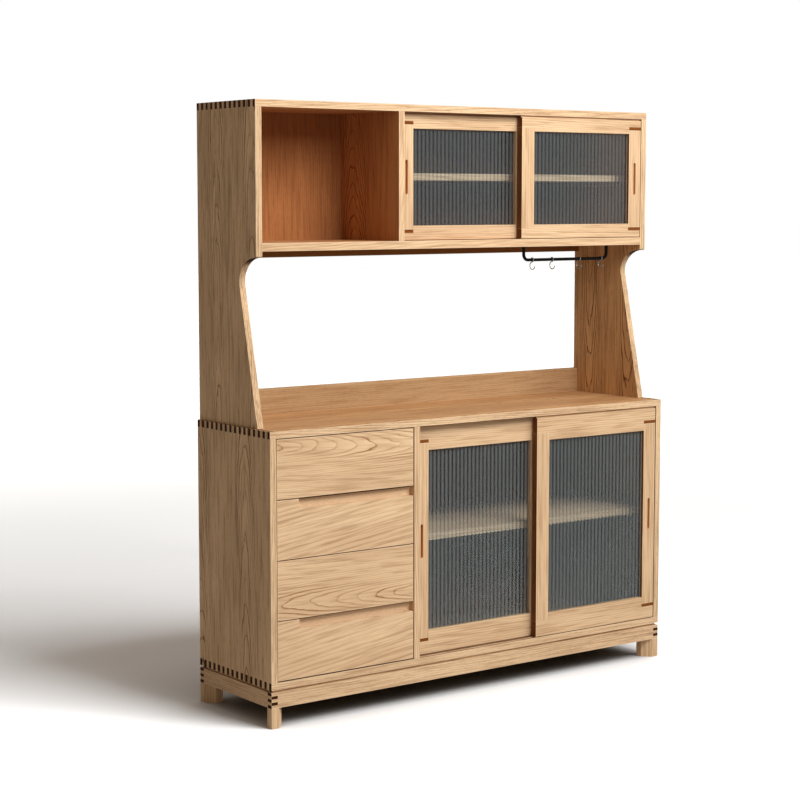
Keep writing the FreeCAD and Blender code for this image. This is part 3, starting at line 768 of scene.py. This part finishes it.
def dress_metal_and_glass():
    """Gives the glass, the mug rail and the hooks their materials."""
    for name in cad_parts:
        if name.endswith("_glass"):
            dress(name, glass_material(name))
    dress("mug_rail", metal_material("black paint", BLACK_PAINT))
    steel = metal_material("hook steel", HOOK_STEEL)
    hooks = [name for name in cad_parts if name.startswith("mug_hook")]
    for number in range(1, len(hooks) + 1):
        add_hook(number, steel)


def rays(graph, *kinds):
    """Gives 1 for rays of these kinds that no dull surface has scattered; what they see lights nothing."""
    path = graph.node("ShaderNodeLightPath").outputs
    straight = graph.math("LESS_THAN", path["Diffuse Depth"], 0.5)
    share = 0.0
    for kind in kinds:
        share = graph.math("MAXIMUM", path[kind], share)
    return graph.math("MULTIPLY", share, straight)


def add_floor():
    """Lays the pale floor, which is lighter to the eye than to the lamps, with painted contact shade near
    the cupboard, and white in gloss.
    """
    bpy.ops.mesh.primitive_plane_add(size=FLOOR_SIZE)
    floor = bpy.context.object
    floor.name = "floor"
    material, graph, shader = new_material("pale floor")
    # Painted contact shade: the floor looks darker to the eye where the cupboard is near
    contact_shade = graph.node("ShaderNodeAmbientOcclusion")
    contact_shade.inputs["Distance"].default_value = CONTACT_SHADE_REACH
    place = graph.node("ShaderNodeTexCoord").outputs["Object"]
    out = graph.span(graph.vector("LENGTH", place), FLOOR_NEAR_END, FLOOR_FAR_START)
    graph.feed(contact_shade.inputs["Color"], graph.mix(out, FLOOR_SEEN, FLOOR_FAR))
    colour = graph.mix(rays(graph, "Is Glossy Ray"), FLOOR_LIT, WHITE)
    seen = rays(graph, "Is Camera Ray", "Is Transmission Ray")
    graph.feed(shader.inputs["Base Color"], graph.mix(seen, colour, contact_shade.outputs["Color"]))
    shader.inputs["Roughness"].default_value = FLOOR_ROUGH
    shader.inputs["Specular IOR Level"].default_value = 0.0
    floor.data.materials.append(material)


def place_lamp(name, lamp, towards, place=(0.0, 0.0, 0.0)):
    """Puts a lamp in the scene, turned so that its light comes from the given direction."""
    holder = bpy.data.objects.new(name, lamp)
    holder.location = place
    holder.rotation_euler = towards.to_track_quat("Z", "Y").to_euler()
    bpy.context.scene.collection.objects.link(holder)


def add_sun(name, across, height, strength, colour=WHITE[:3]):
    """Adds a wide soft sun that stands to the right of straight ahead, at a height, in degrees."""
    lamp = bpy.data.lights.new(name, "SUN")
    lamp.energy = strength
    lamp.color = colour
    lamp.angle = math.radians(SUN_SPREAD)
    turn = math.radians(across)
    rise = math.radians(height)
    towards = Vector((math.sin(turn) * math.cos(rise), -math.cos(turn) * math.cos(rise), math.sin(rise)))
    place_lamp(name, lamp, towards)


def add_panel():
    """Hangs a soft square light high in front, so that the hutch is a little brighter than the base."""
    lamp = bpy.data.lights.new("panel light", "AREA")
    lamp.energy = PANEL_POWER
    lamp.size = PANEL_SIZE
    place_lamp("panel light", lamp, Vector(PANEL_PLACE) - Vector(PANEL_TARGET), PANEL_PLACE)


def add_glow():
    """Makes the world an even glow that the camera sees as white, also in gloss and through glass."""
    world = bpy.data.worlds.new("studio")
    bpy.context.scene.world = world
    world.use_nodes = True
    graph = Graph(world.node_tree)
    glow = world.node_tree.nodes["Background"]
    glow.inputs["Color"].default_value = GLOW_TINT
    glow.inputs["Strength"].default_value = GLOW_STRENGTH
    white = graph.node("ShaderNodeBackground")
    white.inputs["Color"].default_value = WHITE
    seen = rays(graph, "Is Camera Ray", "Is Glossy Ray", "Is Transmission Ray")
    graph.finish("World Output", seen, glow, white)


def add_camera():
    """Sets the camera where the photograph was taken from."""
    lens = bpy.data.cameras.new("camera")
    lens.lens = CAMERA_LENS
    camera = bpy.data.objects.new("camera", lens)
    camera.location = CAMERA_PLACE
    camera.rotation_euler = (math.radians(90.0 - CAMERA_DOWN), 0.0, math.radians(-CAMERA_RIGHT))
    bpy.context.scene.collection.objects.link(camera)
    bpy.context.scene.camera = camera


dress_boards()
dress_metal_and_glass()
add_floor()
add_sun("key sun", KEY_ACROSS, KEY_HEIGHT, KEY_STRENGTH)
add_sun("front sun", FRONT_ACROSS, FRONT_HEIGHT, FRONT_STRENGTH)
add_sun("fill sun", FILL_ACROSS, FILL_HEIGHT, FILL_STRENGTH, FILL_TINT)
add_panel()
add_glow()
add_camera()
bpy.context.scene.view_settings.view_transform = "Standard"
